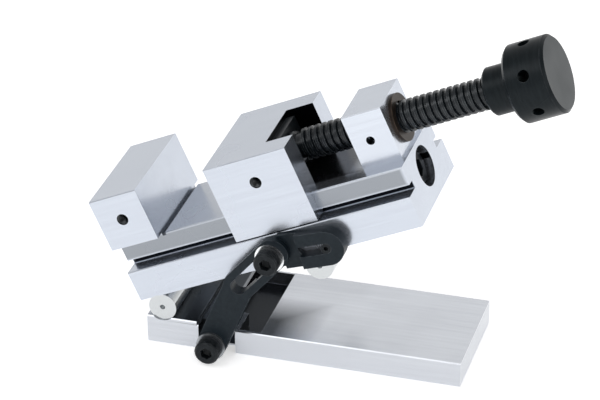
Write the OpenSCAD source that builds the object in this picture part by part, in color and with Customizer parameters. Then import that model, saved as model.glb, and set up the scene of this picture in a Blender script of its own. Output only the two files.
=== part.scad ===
// Toolmaker's precision sine vise, screw type.
// Base plate, tilting vise body on a hinge roll, sliding jaw with lead screw,
// and a two-link elbow lock on the front side.
// Origin: centre of the base plate's underside. +X runs to the knob, +Z is up,
// the side at -Y is the front.

/* [Overall] */
// Width of the base, the body and both jaws
body_w = 70; // [50:1:100]
// Length of the base plate
base_len = 180; // [150:1:220]
// Thickness of the base plate
base_h = 15; // [12:0.5:20]
// Tilt of the body above the base in the rest pose, degrees
tilt = 24; // [0:0.5:30]

/* [Rolls] */
// Diameter of the two hardened rolls
roll_d = 16; // [12:0.5:20]
// Distance between the two roll centres
roll_span = 100; // [80:1:130]
// Distance of the hinge roll from the left end of the base
hinge_x = 9; // [8:0.5:14]
// Depth of the round seat of each roll in the underside of the body
seat_depth = 0.4; // [0.2:0.1:1]
// How far each roll end stops short of the body side
roll_end_gap = 1; // [0.5:0.1:2]
// Diameter of the small centre hole in each roll end
roll_centre_d = 3; // [2:0.5:5]
// Depth of the small centre hole in each roll end
roll_centre_depth = 4; // [2:0.5:6]

/* [Base details] */
// Length of the raised hinge land at the left end
land_len = 29; // [20:1:30]
// Height of the raised hinge land
land_h = 2; // [1:0.25:3]
// Left edge of the side notch, from the left end
notch_x = 30; // [25:0.5:40]
// Width of the side notch
notch_w = 21.4; // [18:0.2:26]
// Depth of the side notch
notch_depth = 8; // [5:0.5:10]
// Left edge of the relief pocket in the top
pocket_x = 43; // [40:1:50]
// Width of the relief pocket along the base
pocket_w = 23; // [15:1:30]
// Depth of the relief pocket
pocket_depth = 8; // [3:0.5:10]
// Wall left between the relief pocket and each side of the base
pocket_wall = 2; // [1.5:0.5:6]
// Broken edge on the base plate
base_chamfer = 0.6; // [0.2:0.1:1.5]

/* [Vise body] */
// Height of the lower slab of the body
slab_h = 18; // [14:0.5:24]
// How far the body reaches left of the hinge roll centre
body_left = 10; // [8:0.5:14]
// How far the body reaches right of the hinge roll centre
body_right = 166.5; // [150:0.5:190]
// Height of the side groove between the slab and the rail
groove_h = 4.5; // [3:0.2:6]
// Height of the rail above the groove
rail_h = 10.8; // [8:0.1:14]
// How far each rail side is set in from the body side
rail_inset = 6.2; // [4:0.1:9]
// How far each groove is cut in beyond the rail side
groove_inset = 5.3; // [3:0.1:7]
// Broken edge on the body
body_chamfer = 0.5; // [0.2:0.1:1.5]

/* [Fixed jaw] */
// Left face of the fixed jaw, left of the hinge roll centre
fixed_left = 12.4; // [10.4:0.1:14]
// Clamping face of the fixed jaw, right of the hinge roll centre
fixed_face = 17.4; // [14:0.1:24]
// Height of the jaws above the rail
jaw_h = 31.2; // [24:0.1:40]
// Width of the relief groove at the foot of the fixed jaw
relief_w = 2.4; // [1:0.1:4]
// Depth of the relief groove
relief_depth = 1.8; // [1:0.1:3]

/* [Movable jaw] */
// Opening between the jaws in the rest pose
jaw_open = 43.3; // [10:0.1:80]
// Length of the movable jaw along the rail
jaw_len = 50.7; // [40:0.1:60]
// Half width of the rear cut-out
cut_half_w = 19.5; // [18.9:0.1:22]
// Depth of the rear cut-out
cut_len = 16.6; // [12:0.1:22]
// Gap between each keeper plate and the slab
keeper_gap = 1; // [0.4:0.1:2]
// Gap between each keeper plate and the neck of the body
neck_gap = 0.5; // [0.3:0.1:1]
// Shank diameter of the keeper screws
keeper_screw_d = 3; // [2:0.5:3]
// Head diameter of the keeper screws
keeper_head_d = 5.4; // [4:0.2:5.6]
// Distance of the keeper screws from each end of the jaw
keeper_screw_inset = 9; // [5:0.5:12]
// Depth of the keeper screws in the skirts of the jaw
keeper_screw_len = 6; // [4:0.5:10]

/* [Side holes] */
// Diameter of the tapped stop holes in both jaws
stop_hole_d = 6.8; // [5:0.1:9]
// Depth of the tapped stop holes
stop_hole_depth = 14; // [8:1:20]
// How far right of its middle the movable jaw's stop holes sit
stop_hole_shift = 1; // [0:0.1:3]
// Diameter of the tapped hole in each side of the end block
block_hole_d = 5; // [4:0.1:7]
// Depth of the tapped hole in each side of the end block
block_hole_depth = 5; // [3:0.5:6]
// How far left of and below the screw axis crossing that hole sits
block_hole_shift = 1; // [0:0.1:3]

/* [End block] */
// Left face of the end block, right of the hinge roll centre
block_left = 140.8; // [135:0.1:150]
// Length of the end block
block_len = 23.6; // [18:0.1:30]
// Half width of the end block
block_half_w = 18.4; // [16:0.1:19]
// Height of the end block above the rail
block_h = 31.9; // [25:0.1:40]
// Outer diameter of the nut bush
bush_d = 23; // [21:0.5:26]
// Diameter of the nut bush flange
bush_flange_d = 27; // [25:0.5:30]
// Thickness of the nut bush flange
bush_flange_t = 2; // [1:0.25:4]

/* [Lead screw and knob] */
// Outer diameter of the lead screw
screw_d = 18; // [14:0.5:22]
// Pitch of the lead screw thread
screw_pitch = 4; // [2:0.5:6]
// Height of the lead screw axis above the rail
screw_rise = 16.3; // [14:0.1:20]
// Length of the thrust shoulder behind the retainer
shoulder_len = 3; // [2:0.5:4]
// Diameter of the journal that turns in the retainer
journal_d = 11; // [8:0.5:14]
// Diameter of the thrust flange at the tip
tip_d = 17; // [14:0.5:20]
// Length of the thrust flange at the tip
tip_len = 7; // [4:0.5:10]
// Thickness of the split retainer plate
retainer_t = 5; // [4:0.5:8]
// Half width of the split retainer plate
retainer_half_w = 16; // [14:0.5:18]
// Half height of the split retainer plate
retainer_half_h = 12; // [10:0.5:14]
// Shank diameter of the retainer screws
retainer_screw_d = 3; // [2:0.5:4]
// Head diameter of the retainer screws
retainer_head_d = 5.5; // [4:0.5:6.5]
// Head height of the retainer screws
retainer_head_h = 3; // [2:0.5:4]
// Depth of the retainer screws in the jaw
retainer_thread = 6; // [4:0.5:10]
// Left end of the knob collar, right of the hinge roll centre
collar_u = 218.6; // [200:0.1:230]
// Length of the knob collar
collar_len = 15.4; // [10:0.1:20]
// Diameter of the knob collar
collar_d = 26.5; // [22:0.5:32]
// Length of the knob head
knob_len = 24; // [16:0.5:30]
// Diameter of the knob head
knob_d = 43; // [35:0.5:55]
// Broken edge on the knob collar
collar_chamfer = 1.2; // [0.5:0.1:3]
// Broken edge on the knob head
knob_chamfer = 1.6; // [0.5:0.1:3]
// Number of bar holes round the knob head
bar_holes = 6; // [4:1:8]
// Turn of the bar holes from the front of the knob, degrees
bar_hole_phase = 30; // [0:1:59]
// Diameter of each bar hole
bar_hole_d = 6.5; // [5:0.5:9]
// Depth of each bar hole
bar_hole_depth = 11; // [8:0.5:12]

/* [Links] */
// Distance of the base link pivot from the left end of the base
pivot_x = 40; // [39.5:0.1:42]
// Height of the base link pivot above the base underside
pivot_z = 8.4; // [8.4:0.1:9]
// Thickness of both links
link_t = 8; // [6:0.5:9]
// Half width of the lower leg of the base link
leg_half_w = 8.3; // [7:0.1:8.3]
// Radius of the boss of the base link in the notch
boss_r = 7.5; // [6:0.1:8]
// Half width of the slotted leg of the base link
slot_leg_half_w = 8.8; // [8.5:0.1:9]
// Direction of the slot in the base link, degrees above the base
slot_a_angle = 49.5; // [48:0.1:53]
// Length of the slot in the base link below the elbow screw
slot_a_len = 28.5; // [27:0.1:29.5]
// Width of the slot in the base link
slot_a_w = 9; // [8.8:0.1:9.4]
// How far the slot runs past the elbow screw
slot_a_over = 2.2; // [2:0.1:2.6]
// Half width of the body link
link_b_half_w = 10.2; // [9:0.1:11]
// Half width of the thin tongue of the body link round the elbow screw
tongue_half_w = 8.5; // [7.5:0.1:9]
// Where the body link steps up to full thickness, from the elbow screw
shoulder = 16.8; // [16.8:0.1:18]
// Where the tongue reaches the full width of the body link, from the elbow screw
tongue_step = 5.4; // [5:0.1:7]
// Width of the slot in the body link
slot_b_w = 6; // [5:0.1:7]
// Length of the slot in the body link
slot_b_len = 14.5; // [10:0.5:15]
// Elbow screw position along the body, from the hinge roll centre
elbow_u = 79.7; // [79:0.1:80.5]
// Elbow screw height above the underside of the body
elbow_v = 8.7; // [8:0.1:9.5]
// Body link pin position along the body, from the hinge roll centre
pin_u = 112.5; // [112:0.1:113.5]
// Body link pin height above the underside of the body
pin_v = 5.2; // [5:0.1:6]
// Depth of the link pin and pivot screw in the solid
pin_depth = 10; // [6:0.5:14]
// How far the elbow screw end stops short of the body side
elbow_end_gap = 0.5; // [0.3:0.1:1]

/* [Fasteners] */
// Head diameter of the link screws
head_d = 14; // [12:0.1:15.5]
// Head height of the link screws
head_h = 8; // [6:0.1:10]
// Hexagon socket size of the link screws
socket_af = 6; // [4:0.5:8]
// Depth of the hexagon sockets
socket_depth = 4; // [2:0.5:5]
// Shank diameter of the base pivot screw
pivot_d = 8; // [6:0.5:10]
// Neck diameter of the elbow screw
elbow_d = 6.3; // [6:0.1:6.5]
// Outer diameter of the washers under the link screws
washer_d = 16.6; // [15:0.1:18]
// Thickness of the washers under the link screws
washer_t = 1.5; // [1:0.1:2.5]
// Diameter of the counterbore in the right end of the body
end_bore_d = 23; // [18:0.5:25]
// Depth of the counterbore in the right end of the body
end_bore_depth = 14; // [8:0.5:20]
// Head diameter of the cap screw in the right end of the body
end_head_d = 18; // [14:0.5:20]
// Head height of the cap screw in the right end of the body
end_head_h = 10; // [6:0.5:12]
// Shank diameter of the cap screw in the right end of the body
end_shank_d = 12; // [8:0.5:14]
// Shank length of the cap screw in the right end of the body
end_shank_len = 24; // [15:1:35]
// Height of that cap screw above the underside of the body
end_bore_v = 19; // [16:0.5:21]
// Shank diameter of the hidden roll, block and retainer screws
small_d = 4; // [3:0.5:4.5]
// Head diameter of the hidden screws
small_head_d = 7; // [6:0.5:8]
// Head height of the hidden screws
small_head_h = 4; // [3:0.5:5]
// How far the hidden screw heads sit below the surface
head_recess = 1; // [0.5:0.1:1.5]
// How far the roll screw heads sit inside the rolls
roll_recess = 1.4; // [1:0.1:2.5]

/* [Fits] */
// Radial clearance of every turning round fit
run_gap = 0.05; // [0.01:0.01:0.1]
// Clearance of the jaw and its keeper plates on the rail
slide_gap = 0.05; // [0.02:0.01:0.2]
// End clearance at the tip of the lead screw
tip_gap = 0.3; // [0.1:0.1:1]

/* [Hidden] */
$fn = 64;
// Overshoot that keeps a cut clear of the face it starts from
over = 1;
// Depth by which joined shapes of one solid run into each other
weld = 0.01;
hinge_z = base_h + roll_d / 2;
roll_drop = roll_d / 2 - seat_depth;
front_y = -body_w / 2;
roll_len = body_w - 2 * roll_end_gap;
rail_low = slab_h + groove_h;
rail_top = rail_low + rail_h;
jaw_top = rail_top + jaw_h;
screw_v = rail_top + screw_rise;
rail_half = body_w / 2 - rail_inset;
neck_half = rail_half - groove_inset;
jaw_face = fixed_face + jaw_open;
jaw_rear = jaw_face + jaw_len;
cut_face = jaw_rear - cut_len;
skirt_low = rail_low - slide_gap;
keeper_low = slab_h + keeper_gap;
block_right = block_left + block_len;
block_top = rail_top + block_h;
tip_u = cut_face - tip_len;
shoulder_u = cut_face + retainer_t + tip_gap + shoulder_len;
thread_u = shoulder_u + screw_pitch;
core_d = screw_d - screw_pitch;
knob_u = collar_u + collar_len;
screw_end = knob_u + knob_len / 2;
roll_screw_y = body_w / 4;
block_screw_u = block_left + block_len / 2;
block_screw_y = (bush_d / 2 + block_half_w) / 2;
elbow_x = hinge_x + elbow_u * cos(tilt) - (elbow_v + roll_drop) * sin(tilt);
elbow_z = hinge_z + elbow_u * sin(tilt) + (elbow_v + roll_drop) * cos(tilt);
knee_x = elbow_x - slot_a_len * cos(slot_a_angle);
knee_z = elbow_z - slot_a_len * sin(slot_a_angle);
slot_end_x = elbow_x + slot_a_over * cos(slot_a_angle);
slot_end_z = elbow_z + slot_a_over * sin(slot_a_angle);
link_b_angle = atan2(pin_v - elbow_v, pin_u - elbow_u);
link_b_span = norm([pin_u - elbow_u, pin_v - elbow_v]);
link_y = front_y - link_t;
link_mid_y = front_y - link_t / 2;
pin_d = slot_b_w - 2 * run_gap;
stop_v = screw_v;
bar_hole_u = knob_u + knob_len / 2;
bar_hole_floor = knob_d / 2 - bar_hole_depth;
set_screw_u = collar_u + collar_len / 2;
set_screw_len = (collar_d - journal_d) / 2 - head_recess;
roll_low = -roll_drop - roll_d / 2;
small_af = small_d * 0.8;
end_af = end_shank_d * 0.8;
keeper_head_h = (skirt_low - keeper_low) / 2;
keeper_screw_y = (front_y - rail_half - slide_gap) / 2;
retainer_screw_y = (retainer_half_w + tip_d / 2) / 2;

// Place of a keeper screw along the body; end 1 is the left one.
function keeper_screw_u(end) = end > 0 ? jaw_face + keeper_screw_inset : jaw_rear - keeper_screw_inset;

// Frame of the base: X from its left end, Y from its centre line.
module in_base() translate([-base_len / 2, 0, 0]) children();

// Frame of the tilted body: X along the body from the hinge roll, Z from its underside.
module in_body()
  in_base() translate([hinge_x, 0, hinge_z]) rotate([0, -tilt, 0])
    translate([0, 0, roll_drop]) children();

// A front piece stays where it is for side 1, and is mirrored to the back for side -1.
module on_side(side) if (side > 0) children(); else mirror([0, 1, 0]) children();

// Round bar along Y, from y1 to y2, at (x, z).
module rod_y(x, z, d, y1, y2) translate([x, y1, z]) rotate([-90, 0, 0]) cylinder(d = d, h = y2 - y1);

// Round bar along X, from x1 to x2, at height z.
module rod_x(x1, x2, z, d) translate([x1, 0, z]) rotate([0, 90, 0]) cylinder(d = d, h = x2 - x1);

// Box given by its low corner and its high corner.
module box(a, b) translate(a) cube([b[0] - a[0], b[1] - a[1], b[2] - a[2]]);

// Plate between y1 and y2, whose outline is drawn in X and Z.
module plate_y(y1, y2) translate([0, y2, 0]) rotate([90, 0, 0]) linear_extrude(y2 - y1) children();

// Outline of a straight leg with round ends, between two points.
module leg(x1, z1, x2, z2, half_w) {
  translate([x1, z1]) circle(half_w);
  translate([x2, z2]) circle(half_w);
  translate([x1, z1]) rotate(atan2(z2 - z1, x2 - x1)) translate([0, weld - half_w])
    square([norm([x2 - x1, z2 - z1]), 2 * (half_w - weld)]);
}

// Hexagon socket cap screw along +Z from its head face at the origin.
module cap_screw(d, len, hd, hh, af, sd) {
  difference() {
    cylinder(d = hd, h = hh);
    translate([0, 0, -over]) cylinder(d = af / cos(30), h = sd + over, $fn = 6);
  }
  translate([0, 0, hh - weld]) cylinder(d = d, h = len - hh + weld);
}

// The hidden screws that hold the rolls and the end block, from their head face at (u, v).
module hidden_screw(u, side, v, end_v)
  translate([u, -side * (u > roll_span ? block_screw_y : roll_screw_y), v])
  cap_screw(small_d, end_v - v, small_head_d, small_head_h, small_af, small_head_h / 2);

// Clear hole and head recess of a hidden screw, from below.
module hidden_screw_hole(v, end_v, recess) translate([0, 0, v]) {
  cylinder(d = small_d + 2 * run_gap, h = end_v - v);
  translate([0, 0, -over]) cylinder(d = small_head_d + 2 * run_gap, h = recess + small_head_h + over);
}

// Bevel along X that breaks the edge at (y, z).
module edge_break(x1, x2, y, z, c) {
  half = c / sqrt(2);
  translate([x1, y, z]) rotate([45, 0, 0]) translate([0, -half, -half]) cube([x2 - x1, 2 * half, 2 * half]);
}

module base_plate() color([0.76, 0.78, 0.80]) in_base() difference() {
  union() {
    box([0, front_y, 0], [base_len, -front_y, base_h]);
    box([0, front_y, base_h - weld], [land_len, -front_y, base_h + land_h]);
  }
  // trough that seats the hinge roll
  rod_y(hinge_x, hinge_z, roll_d + 2 * run_gap, front_y - over, -front_y + over);
  // notch for the foot of the base link, and the hole of its pivot screw
  box([notch_x, front_y - over, -over], [notch_x + notch_w, front_y + notch_depth, base_h + over]);
  rod_y(pivot_x, pivot_z, pivot_d, front_y + notch_depth - over, front_y + notch_depth + pin_depth + over);
  // relief pocket, set back where it passes behind the notch
  box([notch_x + notch_w + pocket_wall, front_y + pocket_wall, base_h - pocket_depth],
    [pocket_x + pocket_w, -front_y - pocket_wall, base_h + over]);
  box([pocket_x, front_y + notch_depth + pin_depth + pocket_wall, base_h - pocket_depth],
    [pocket_x + pocket_w, -front_y - pocket_wall, base_h + over]);
  for (y = [front_y, -front_y]) {
    edge_break(land_len, base_len + over, y, base_h, base_chamfer);
    edge_break(-over, base_len + over, y, 0, base_chamfer);
    edge_break(-over, land_len + over, y, base_h + land_h, base_chamfer);
  }
}

// Ground roll along Y at the given place along the body.
module roll(u) in_body() difference() {
  rod_y(u, -roll_drop, roll_d, -roll_len / 2, roll_len / 2);
  for (side = [1, -1]) {
    on_side(side)
      rod_y(u, -roll_drop, roll_centre_d, -roll_len / 2 - over, -roll_len / 2 + roll_centre_depth);
    translate([u, side * roll_screw_y, 0]) hidden_screw_hole(roll_low, over, roll_recess);
  }
}
module hinge_roll() color([0.80, 0.81, 0.82]) roll(0);
module sine_roll() color([0.80, 0.81, 0.82]) roll(roll_span);

module roll_screw(u, side) color([0.12, 0.13, 0.15]) in_body()
  hidden_screw(u, side, roll_low + roll_recess, slab_h / 2);
module hinge_roll_screw_front() roll_screw(0, 1);
module hinge_roll_screw_back() roll_screw(0, -1);
module sine_roll_screw_front() roll_screw(roll_span, 1);
module sine_roll_screw_back() roll_screw(roll_span, -1);

module base_pivot_screw() color([0.10, 0.11, 0.13]) in_base()
  translate([pivot_x, link_y - washer_t - head_h, pivot_z]) rotate([-90, 0, 0])
    cap_screw(pivot_d, head_h + washer_t + link_t + notch_depth + pin_depth, head_d, head_h,
      socket_af, socket_depth);

// Flat washer against the links at (x, z), bored for a shank.
module washer(x, z, d) difference() {
  rod_y(x, z, washer_d, link_y - washer_t, link_y);
  rod_y(x, z, d + 2 * run_gap, link_y - washer_t - over, link_y + over);
}

module base_pivot_washer() color([0.55, 0.57, 0.58]) in_base() washer(pivot_x, pivot_z, pivot_d);

module base_link() color([0.13, 0.15, 0.18]) in_base() difference() {
  union() {
    plate_y(link_y, front_y) leg(pivot_x, pivot_z, knee_x, knee_z, leg_half_w);
    plate_y(link_y, link_mid_y) leg(knee_x, knee_z, slot_end_x, slot_end_z, slot_leg_half_w);
    rod_y(pivot_x, pivot_z, 2 * boss_r, link_mid_y, front_y + notch_depth);
  }
  plate_y(link_y - over, front_y + over) leg(knee_x, knee_z, slot_end_x, slot_end_z, slot_a_w / 2);
  rod_y(pivot_x, pivot_z, pivot_d + 2 * run_gap, link_y - over, front_y + notch_depth + over);
}

module vise_body() color([0.76, 0.78, 0.80]) in_body() difference() {
  union() {
    box([-body_left, front_y, 0], [body_right, -front_y, slab_h]);
    box([-body_left, -neck_half, slab_h - weld], [body_right, neck_half, rail_low + weld]);
    box([-body_left, -rail_half, rail_low], [body_right, rail_half, rail_top]);
    box([-fixed_left, front_y, rail_top - weld], [fixed_face, -front_y, jaw_top]);
  }
  // relief groove at the foot of the fixed jaw
  box([fixed_face - weld, front_y, rail_top - relief_depth],
    [fixed_face + relief_w, -front_y, rail_top + over]);
  // seats and screw holes of the rolls
  for (u = [0, roll_span]) rod_y(u, -roll_drop, roll_d, front_y - over, -front_y + over);
  for (u = [0, roll_span], side = [1, -1]) translate([u, side * roll_screw_y, -over])
    cylinder(d = small_d, h = slab_h / 2 + over);
  for (side = [1, -1]) {
    on_side(side) {
      rod_y((fixed_face - fixed_left) / 2, stop_v, stop_hole_d, front_y - over, front_y + stop_hole_depth);
      edge_break(-body_left - over, body_right + over, front_y, slab_h, body_chamfer);
      edge_break(fixed_face, body_right + over, -rail_half, rail_top, body_chamfer);
      edge_break(-fixed_left - over, fixed_face + over, front_y, jaw_top, body_chamfer);
    }
    translate([block_screw_u, side * block_screw_y, 0]) hidden_screw_hole(0, rail_top + over, head_recess);
  }
  rod_y(pin_u, pin_v, pin_d, front_y - over, front_y + pin_depth);
  rod_x(body_right - end_bore_depth, body_right + over, end_bore_v, end_bore_d);
  rod_x(body_right - end_bore_depth - end_shank_len, body_right, end_bore_v, end_shank_d);
}

module end_block() color([0.74, 0.76, 0.79]) in_body() difference() {
  box([block_left, -block_half_w, rail_top], [block_right, block_half_w, block_top]);
  rod_x(block_left - over, block_right + over, screw_v, bush_d);
  for (side = [1, -1]) {
    on_side(side) rod_y(block_screw_u - block_hole_shift, screw_v - block_hole_shift, block_hole_d,
      -block_half_w - over, -block_half_w + block_hole_depth);
    translate([block_screw_u, side * block_screw_y, rail_top - over])
      cylinder(d = small_d, h = small_d + over);
    on_side(side) edge_break(block_left - over, block_right + over, -block_half_w, block_top, body_chamfer);
  }
}

module block_screw(side) color([0.12, 0.13, 0.15]) in_body()
  hidden_screw(block_screw_u, side, head_recess, rail_top + small_d);
module block_screw_front() block_screw(1);
module block_screw_back() block_screw(-1);

module nut_bush() color([0.30, 0.24, 0.20]) in_body() difference() {
  union() {
    rod_x(block_left, block_right + weld, screw_v, bush_d);
    rod_x(block_right, block_right + bush_flange_t, screw_v, bush_flange_d);
  }
  rod_x(block_left - over, block_right + bush_flange_t + over, screw_v, screw_d + 2 * run_gap);
}

module end_cap_screw() color([0.10, 0.11, 0.13]) in_body()
  translate([body_right - end_bore_depth + end_head_h, 0, end_bore_v]) rotate([0, -90, 0])
    cap_screw(end_shank_d, end_head_h + end_shank_len, end_head_d, end_head_h, end_af, end_head_h / 2);

module body_link_pin() color([0.14, 0.15, 0.17]) in_body() difference() {
  rod_y(pin_u, pin_v, pin_d, link_y, front_y + pin_depth);
  translate([pin_u, link_y - over, pin_v]) rotate([-90, 0, 0])
    cylinder(d = socket_af / 2, h = socket_depth / 2 + over, $fn = 6);
}

// Body link drawn along X from the elbow screw, then turned to its angle.
module body_link() color([0.13, 0.15, 0.18]) in_body()
  translate([elbow_u, 0, elbow_v]) rotate([0, -link_b_angle, 0]) difference() {
    union() {
      plate_y(link_mid_y, front_y) {
        circle(tongue_half_w);
        translate([0, -tongue_half_w]) square([tongue_step + weld, 2 * tongue_half_w]);
        translate([tongue_step, -link_b_half_w]) square([shoulder - tongue_step + weld, 2 * link_b_half_w]);
      }
      plate_y(link_y, front_y) {
        translate([shoulder, -link_b_half_w]) square([link_b_span - shoulder, 2 * link_b_half_w]);
        translate([link_b_span, 0]) circle(link_b_half_w);
      }
    }
    rod_y(0, 0, elbow_d, link_y, front_y + over);
    plate_y(link_y - over, front_y + over) leg(link_b_span - slot_b_len, 0, link_b_span, 0, slot_b_w / 2);
  }

module elbow_screw() color([0.10, 0.11, 0.13]) in_body()
  translate([elbow_u, link_y - washer_t - head_h, elbow_v]) rotate([-90, 0, 0])
    cap_screw(elbow_d, head_h + washer_t + link_t - elbow_end_gap, head_d, head_h, socket_af, socket_depth);

module elbow_washer() color([0.85, 0.86, 0.87]) in_body() washer(elbow_u, elbow_v, elbow_d);

module movable_jaw() color([0.75, 0.77, 0.80]) in_body() difference() {
  box([jaw_face, front_y, skirt_low], [jaw_rear, -front_y, jaw_top]);
  box([jaw_face - over, -rail_half - slide_gap, 0],
    [jaw_rear + over, rail_half + slide_gap, rail_top + slide_gap]);
  box([cut_face, -cut_half_w, rail_top], [jaw_rear + over, cut_half_w, jaw_top + over]);
  rod_x(tip_u - tip_gap, jaw_rear, screw_v, tip_d + 2 * run_gap);
  for (side = [1, -1]) {
    on_side(side) {
      rod_y((jaw_face + jaw_rear) / 2 + stop_hole_shift, stop_v, stop_hole_d,
        front_y - over, front_y + stop_hole_depth);
      edge_break(jaw_face - over, jaw_rear + over, front_y, jaw_top, body_chamfer);
      for (end = [1, -1]) translate([keeper_screw_u(end), keeper_screw_y, skirt_low - over])
        cylinder(d = keeper_screw_d, h = keeper_screw_len + over);
    }
    translate([cut_face - retainer_thread, side * retainer_screw_y, screw_v]) rotate([0, 90, 0])
      cylinder(d = retainer_screw_d, h = retainer_thread + over);
  }
}

// Keeper plate that hooks one skirt of the jaw under the rail.
module keeper(side) color([0.70, 0.72, 0.75]) in_body() on_side(side) difference() {
  box([jaw_face, front_y, keeper_low], [jaw_rear, -neck_half - neck_gap, skirt_low]);
  for (end = [1, -1]) translate([keeper_screw_u(end), keeper_screw_y, keeper_low - over]) {
    cylinder(d = keeper_screw_d, h = skirt_low - keeper_low + 2 * over);
    cylinder(d = keeper_head_d, h = over + keeper_head_h);
  }
}
module keeper_front() keeper(1);
module keeper_back() keeper(-1);

// Flat-head screw from below through a keeper plate into a skirt of the jaw; end 1 is the left one.
module keeper_screw(side, end) color([0.12, 0.13, 0.15]) in_body() on_side(side)
  translate([keeper_screw_u(end), keeper_screw_y, keeper_low])
    cap_screw(keeper_screw_d, skirt_low - keeper_low + keeper_screw_len, keeper_head_d, keeper_head_h,
      keeper_screw_d / 2, keeper_head_h / 2);
module keeper_screw_front_left() keeper_screw(1, 1);
module keeper_screw_front_right() keeper_screw(1, -1);
module keeper_screw_back_left() keeper_screw(-1, 1);
module keeper_screw_back_right() keeper_screw(-1, -1);

// Half of the split plate that traps the thrust flange of the lead screw in the jaw.
module retainer(side) color([0.13, 0.14, 0.16]) in_body() on_side(side) difference() {
  box([cut_face, -retainer_half_w, screw_v - retainer_half_h],
    [cut_face + retainer_t, 0, screw_v + retainer_half_h]);
  rod_x(cut_face - over, cut_face + retainer_t + over, screw_v, journal_d + 2 * run_gap);
  translate([cut_face - over, -retainer_screw_y, screw_v]) rotate([0, 90, 0])
    cylinder(d = retainer_screw_d + 2 * run_gap, h = retainer_t + 2 * over);
}
module retainer_front() retainer(1);
module retainer_back() retainer(-1);

module retainer_screw(side) color([0.12, 0.13, 0.15]) in_body() on_side(side)
  translate([cut_face + retainer_t + retainer_head_h, -retainer_screw_y, screw_v]) rotate([0, -90, 0])
    cap_screw(retainer_screw_d, retainer_head_h + retainer_t + retainer_thread, retainer_head_d,
      retainer_head_h, retainer_head_d / 2, retainer_head_h / 2);
module retainer_screw_front() retainer_screw(1);
module retainer_screw_back() retainer_screw(-1);

module lead_screw() color([0.12, 0.13, 0.15]) in_body() {
  rod_x(tip_u, cut_face - tip_gap, screw_v, tip_d);
  rod_x(tip_u, cut_face + retainer_t + over, screw_v, journal_d);
  rod_x(cut_face + retainer_t + tip_gap, shoulder_u, screw_v, screw_d);
  rod_x(shoulder_u - weld, thread_u + weld, screw_v, core_d);
  rod_x(thread_u, collar_u, screw_v, screw_d);
  rod_x(collar_u - over, screw_end, screw_v, journal_d);
}

module knob() color([0.16, 0.17, 0.19]) in_body() difference() {
  translate([collar_u, 0, screw_v]) rotate([0, 90, 0]) rotate_extrude() polygon([
    [journal_d / 2, 0], [collar_d / 2 - collar_chamfer, 0], [collar_d / 2, collar_chamfer],
    [collar_d / 2, collar_len], [knob_d / 2 - knob_chamfer, collar_len],
    [knob_d / 2, collar_len + knob_chamfer], [knob_d / 2, collar_len + knob_len - knob_chamfer],
    [knob_d / 2 - knob_chamfer, collar_len + knob_len], [0, collar_len + knob_len],
    [0, collar_len + knob_len / 2], [journal_d / 2, collar_len + knob_len / 2]]);
  for (k = [1 : bar_holes]) translate([bar_hole_u, 0, screw_v])
    rotate([90 + bar_hole_phase + k * 360 / bar_holes, 0, 0])
    translate([0, 0, bar_hole_floor]) cylinder(d = bar_hole_d, h = bar_hole_depth + over);
  translate([set_screw_u, 0, screw_v - collar_d / 2 - over])
    cylinder(d = small_d, h = set_screw_len + head_recess + 2 * over);
}

module knob_set_screw() color([0.10, 0.11, 0.13]) in_body()
  translate([set_screw_u, 0, screw_v - journal_d / 2 - set_screw_len]) difference() {
    cylinder(d = small_d, h = set_screw_len);
    translate([0, 0, -over]) cylinder(d = small_d / 2, h = small_d / 2 + over, $fn = 6);
  }

base_plate();
base_pivot_screw();
base_pivot_washer();
base_link();
vise_body();
hinge_roll();
hinge_roll_screw_front();
hinge_roll_screw_back();
sine_roll();
sine_roll_screw_front();
sine_roll_screw_back();
end_block();
block_screw_front();
block_screw_back();
nut_bush();
end_cap_screw();
body_link_pin();
body_link();
elbow_screw();
elbow_washer();
movable_jaw();
keeper_front();
keeper_back();
keeper_screw_front_left();
keeper_screw_front_right();
keeper_screw_back_left();
keeper_screw_back_right();
retainer_front();
retainer_back();
retainer_screw_front();
retainer_screw_back();
lead_screw();
knob();
knob_set_screw();
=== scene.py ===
"""Precision sine vise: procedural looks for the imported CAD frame, in metres.

Each sub-assembly is a class with its sizes in a dataclass. Places come from the frame's own boxes.
"""

import logging
import math
from dataclasses import dataclass, replace
from enum import Enum
from typing import Callable, Iterable

import bmesh
import bpy
from mathutils import Matrix, Vector

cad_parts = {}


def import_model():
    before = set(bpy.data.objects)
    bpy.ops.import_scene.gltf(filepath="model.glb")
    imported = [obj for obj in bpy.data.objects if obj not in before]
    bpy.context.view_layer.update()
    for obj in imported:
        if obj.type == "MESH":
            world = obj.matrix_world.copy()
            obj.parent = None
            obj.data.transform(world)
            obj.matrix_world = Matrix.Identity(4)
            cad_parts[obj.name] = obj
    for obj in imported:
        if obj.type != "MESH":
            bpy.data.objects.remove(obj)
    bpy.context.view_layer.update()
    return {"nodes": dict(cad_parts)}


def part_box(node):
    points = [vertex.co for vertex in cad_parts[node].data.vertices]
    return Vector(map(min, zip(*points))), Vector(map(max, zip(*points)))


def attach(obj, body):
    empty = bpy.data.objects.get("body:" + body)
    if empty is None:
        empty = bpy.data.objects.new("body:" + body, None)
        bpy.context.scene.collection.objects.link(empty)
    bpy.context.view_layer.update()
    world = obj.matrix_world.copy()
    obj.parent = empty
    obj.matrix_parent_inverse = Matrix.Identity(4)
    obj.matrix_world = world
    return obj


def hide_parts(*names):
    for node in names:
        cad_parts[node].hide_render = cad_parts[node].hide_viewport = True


LOG = logging.getLogger("sine_vise")
MM = 0.001
ALL = (0.0, 1.0)
MARK_NOISE = (0.35, 0.70)
CLOUD_NOISE = (0.3, 0.7)
CLOUD_SCALE = 28.0
CLOUD_DETAIL = 2.0
LINE_DETAIL = 3.0
LINE_ROUGHNESS = 0.7
BUMP_DEPTH = 0.2 * MM
LEAST_ROUGHNESS = 0.05
WEAR_RADIUS = 0.7 * MM
WEAR_TURN = (0.995, 0.80)
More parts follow.
